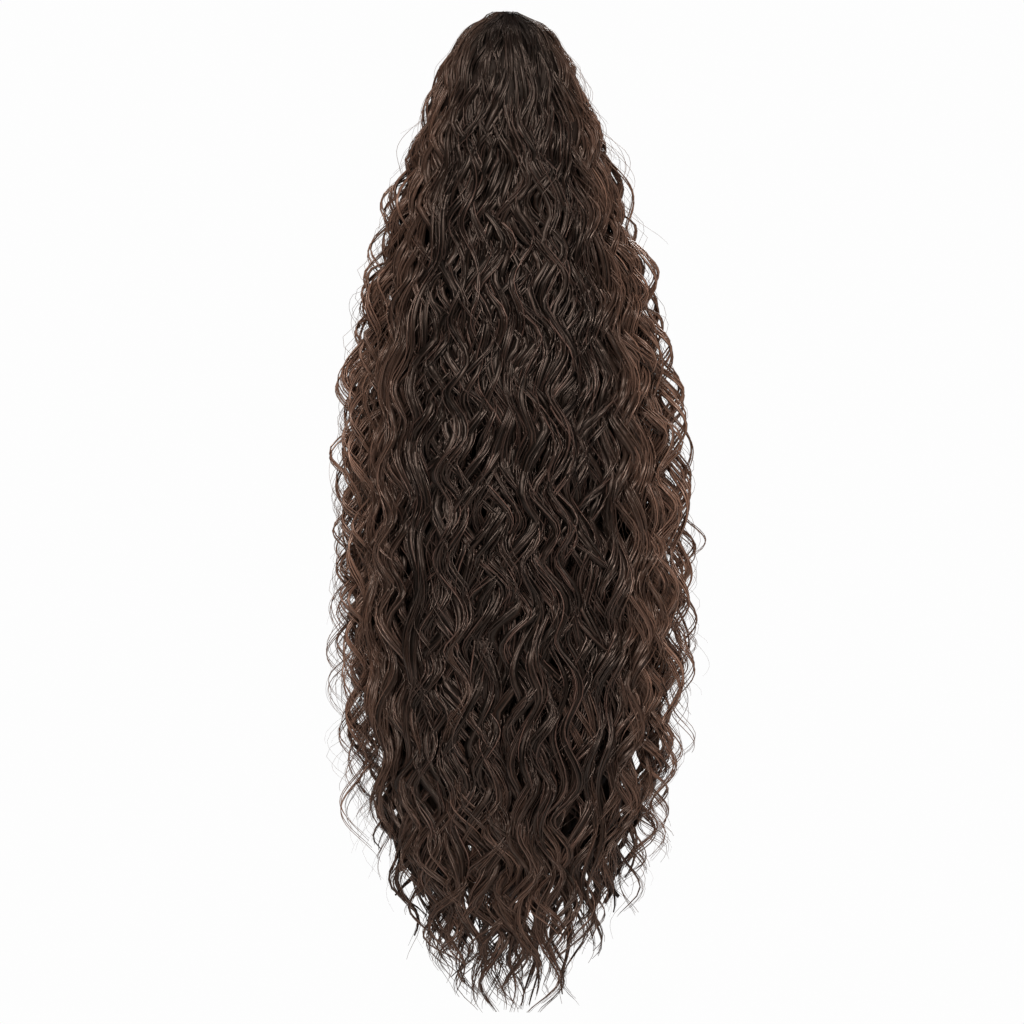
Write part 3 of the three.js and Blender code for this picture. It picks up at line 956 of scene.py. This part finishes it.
    def build_under(self) -> None:
        """Makes the locks next to the core, which close the view between the outer ones."""
        turns = self.spaced_turns(self.under_locks, -180, 180)
        behind_mouth = np.abs(turns) > math.radians(MOUTH_TURN)
        tops = np.where(behind_mouth, CROWN_FOOT - 2, CROWN_TOP - 2)
        routes = self.routes(turns, self.rng.uniform(0.7, 0.84, len(turns)) - 0.07 * sideways(turns), tops)
        lowest = self.rng.uniform(-640, -590, len(turns))
        routes.end = np.minimum(routes.end + 30, lowest)
        mesh = HairMesh(Piece.UNDER_LOCKS)
        mesh.add(routes, TubeSize(11.0, 5.0, sides=6, steps=56, tip_share=0.15))
        self.declare(mesh.build(self.under_fibre))

    def build_front(self) -> None:
        """Makes the front's outer locks, each of four smaller ones with single strands round them."""
        count = self.front_locks
        turns = self.spaced_turns(count, -MOUTH_TURN, MOUTH_TURN)
        tops = np.where(self.rng.random(count) < 0.78, CROWN_TOP, self.rng.uniform(-40, 24, count))
        routes = self.routes(turns, self.rng.uniform(0.88, 1.03, count) - 0.05 * sideways(turns), tops)
        small = routes.branch(self.rng, 4, LOCK_BUNDLE)
        locks = HairMesh(Piece.FRONT_LOCKS)
        locks.add(small, TubeSize(2.6, 0.9, sides=4, steps=86, tip_share=0.05, taper=0.22))
        self.declare(locks.build(self.lock_fibre))
        single = small.branch(self.rng, 4, STRAND_BUNDLE)
        order = np.arange(len(single.turn))
        lower = order % 2 == 1
        single.top = np.where(lower, self.rng.uniform(-190, -30, len(order)), single.top)
        thirds = np.array_split(order, 3)
        for chosen, piece in zip(thirds, (Piece.LEFT_STRANDS, Piece.MIDDLE_STRANDS, Piece.RIGHT_STRANDS)):
            strands = HairMesh(piece)
            for part, steps in ((chosen[~lower[chosen]], 97), (chosen[lower[chosen]], 76)):
                size = TubeSize(0.5, 0.42, sides=3, steps=steps, tip_share=0.3, taper=0.15)
                strands.add(single.picked(part), size)
            self.declare(strands.build(self.strand_fibre))

    def build_back(self) -> None:
        """Makes the outer locks of the back, which start below the mouth."""
        turns = self.spaced_turns(self.back_locks, MOUTH_TURN, 360 - MOUTH_TURN)
        tops = np.full(self.back_locks, CROWN_FOOT - 1)
        routes = self.routes(turns, self.rng.uniform(0.88, 1.02, self.back_locks), tops)
        small = routes.branch(self.rng, 3, LOCK_BUNDLE)
        locks = HairMesh(Piece.BACK_LOCKS)
        locks.add(small, TubeSize(3.4, 1.1, sides=4, steps=68))
        self.declare(locks.build(self.lock_fibre))
        strands = HairMesh(Piece.BACK_STRANDS)
        single = small.branch(self.rng, 2, STRAND_BUNDLE)
        strands.add(single, TubeSize(0.55, 0.5, sides=3, steps=68, tip_share=0.3, taper=0.15))
        self.declare(strands.build(self.strand_fibre))

    def build_fringe(self) -> None:
        """Makes the open locks that stand clear of both sides, each a few strands close together."""
        rng = self.rng
        count = self.fringe_locks
        turns = np.where(np.arange(count) % 2 == 0, -1, 1) * np.radians(rng.uniform(62, 112, count))
        shares = rng.uniform(1.0, 1.07, count) + np.where(turns > 0, 0.04, 0)
        routes = self.routes(turns, shares, rng.uniform(-260, 0, count))
        behind_mouth = np.abs(turns) > math.radians(MOUTH_TURN)
        routes.top = np.where(behind_mouth, np.minimum(routes.top, BACK_TOP), routes.top)
        routes.lift = rng.normal(9.6, 1.2, count)
        mesh = HairMesh(Piece.FRINGE_LOCKS)
        mesh.add(
            routes.branch(rng, 4, FRINGE_BUNDLE),
            TubeSize(0.85, 0.75, sides=3, steps=80, tip_share=0.15, taper=0.4),
        )
        self.declare(mesh.build(self.strand_fibre))

    def build_tips(self) -> None:
        """Makes the lowest locks, which leave the hem one by one in S curves and thin out."""
        rng = self.rng
        count = self.tip_locks
        behind = np.where(np.arange(count) % 3 == 0, math.pi, 0)
        turns = rng.uniform(-1, 1, count) * math.radians(80) + behind
        shares = rng.uniform(0.1, 0.98, count)
        seen_from = np.arcsin(shares * np.sin(turns))
        ends = np.maximum(OUTLINE_SHAPE.hem_at(seen_from) + rng.uniform(-16, 34, count), TAIL_END)
        routes = self.routes(turns, shares, ends + rng.uniform(120, 170, count))
        routes.end = ends
        routes.sway = rng.normal(8.5, 1.6, count)
        routes.pitch = rng.normal(62, 5, count)
        mesh = HairMesh(Piece.TIP_LOCKS)
        mesh.add(
            routes.branch(rng, 6, TIP_BUNDLE),
            TubeSize(0.75, 0.6, sides=4, steps=30, tip_share=0.2, taper=0.5),
        )
        self.declare(mesh.build(self.strand_fibre))

    def build_strays(self) -> None:
        """Makes the finest strands, which stand clear of the outline, most of them at the sides."""
        rng = self.rng
        count = self.strays
        turns = rng.choice([-1, 1], count) * np.radians(rng.normal(82, 32, count))
        routes = self.routes(turns, rng.uniform(1.0, 1.1, count), rng.uniform(-300, 30, count))
        routes.sway = routes.sway * rng.uniform(0.9, 1.6, count)
        behind_mouth = np.abs(turns) > math.radians(MOUTH_TURN)
        routes.top = np.where(behind_mouth, np.minimum(routes.top, BACK_TOP), routes.top)
        routes.phase = rng.random(count)
        mesh = HairMesh(Piece.STRAY_STRANDS)
        mesh.add(routes, TubeSize(0.17, 0.17, sides=3, steps=58, tip_share=0.3, taper=0.2))
        count = self.crown_strays
        turns = rng.choice([-1, 1], count) * np.radians(rng.uniform(55, 95, count))
        routes = self.routes(turns, rng.uniform(1.03, 1.2, count), rng.uniform(20, 41, count))
        routes.end = rng.uniform(-150, -40, count)
        mesh.add(routes, TubeSize(0.24, 0.24, sides=3, steps=34, tip_share=0.3, taper=0.2))
        self.declare(mesh.build(self.strand_fibre))

    def build(self) -> None:
        """Makes all the hair."""
        self.build_core()
        self.build_root_pad()
        self.build_under()
        self.build_front()
        self.build_back()
        self.build_fringe()
        self.build_tips()
        self.build_strays()


@dataclass
class BaseFittings:
    """The base dome, its binding and its comb, which stay as the frame gives them."""

    dome: PlainFinish = PlainFinish("black_brown_knitted_cloth", "1c1713", 0.92, 0.7, 0.6)
    binding: PlainFinish = PlainFinish("black_ribbed_elastic", "161210", 0.8, 0.5, 0.5)
    comb: PlainFinish = PlainFinish("black_brown_moulded_nylon", "15110f", 0.38, 0.4, 0.05)

    def dress(self) -> None:
        """Gives each node its finish."""
        for node, finish in (
            ("base_dome", self.dome),
            ("mouth_binding", self.binding),
            ("holding_comb", self.comb),
        ):
            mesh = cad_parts[node].data
            mesh.materials.clear()
            mesh.materials.append(finish.make())
            LOG.info("dressed %s", node)


@dataclass(frozen=True)
class Lamp:
    """A square soft lamp, its place and size in metres and its power in watts."""

    name: str
    place: tuple[float, float, float]
    size: float
    power: float

    def build(self, aim: Vector) -> None:
        """Hangs the lamp in the studio.

        Args:
            aim: the point that it shines at.
        """
        data = bpy.data.lights.new(self.name, "AREA")
        data.shape = "SQUARE"
        data.size = self.size
        data.energy = self.power
        lamp = bpy.data.objects.new(self.name, data)
        lamp.location = self.place
        lamp.rotation_euler = (aim - Vector(self.place)).to_track_quat("-Z", "Y").to_euler()
        bpy.context.scene.collection.objects.link(lamp)


LAMPS = (
    Lamp("key_lamp", (-1.1, -4.2, 2.4), 1.1, 218),
    Lamp("fill_lamp", (2.4, -3.6, 1.0), 1.2, 85),
    Lamp("top_lamp", (0.25, -0.25, 1.5), 0.5, 8),
    Lamp("back_lamp", (1.2, 4.0, 1.9), 1.2, 90),
)


@dataclass
class Studio:
    """The white studio: a pale floor well below the tips, even light all round and four soft lamps."""

    floor_height: float = -1.05
    view_height: float = -0.3401
    view_side: float = 0.0015
    view_distance: float = 6.0
    view_width: float = 0.7834
    surround: float = 0.12
    paper: PlainFinish = PlainFinish("white_matt_paper", "f2f2f2", 0.9, 1.0, 0.02)

    def build_floor(self) -> None:
        """Makes the floor."""
        bpy.ops.object.select_all(action="DESELECT")
        bpy.ops.mesh.primitive_plane_add(size=4.0, location=(0, 0, 0))
        floor = bpy.context.active_object
        floor.name = "studio_floor"
        floor.data.transform(Matrix.Translation((0, 0, self.floor_height)))
        floor.data.materials.append(self.paper.make())

    def build_light(self) -> None:
        """Makes the surrounding light and the lamps."""
        world = bpy.data.worlds.new("white_studio")
        world.use_nodes = True
        bpy.context.scene.world = world
        tree = world.node_tree
        background = tree.nodes["Background"]
        background.inputs["Color"].default_value = (0.985, 0.985, 0.985, 1)
        ray = add_node(tree, "ShaderNodeLightPath")
        strength = add_node(tree, "ShaderNodeMapRange", {"To Min": self.surround, "To Max": 1.0})
        tree.links.new(ray.outputs["Is Camera Ray"], strength.inputs["Value"])
        tree.links.new(strength.outputs["Result"], background.inputs["Strength"])
        for lamp in LAMPS:
            lamp.build(Vector((0, 0, self.view_height)))

    def build_camera(self) -> None:
        """Makes the camera, straight in front, with a long lens."""
        data = bpy.data.cameras.new("front_camera")
        data.sensor_width = 36
        data.lens = data.sensor_width * self.view_distance / self.view_width
        data.clip_end = 50
        camera = bpy.data.objects.new("front_camera", data)
        camera.location = (self.view_side, -self.view_distance + MIDDLE_LINE * MM, self.view_height)
        camera.rotation_euler = (math.pi / 2, 0, 0)
        bpy.context.scene.collection.objects.link(camera)
        bpy.context.scene.camera = camera

    def build(self) -> None:
        """Makes the studio."""
        self.build_floor()
        self.build_light()
        self.build_camera()
        bpy.context.scene.view_settings.view_transform = "Standard"


def main() -> None:
    """Builds the looks in order."""
    logging.basicConfig(level=logging.INFO, format="%(name)s: %(message)s")
    Studio().build()
    BaseFittings().dress()
    Hair().build()


if __name__ == "__main__":
    main()
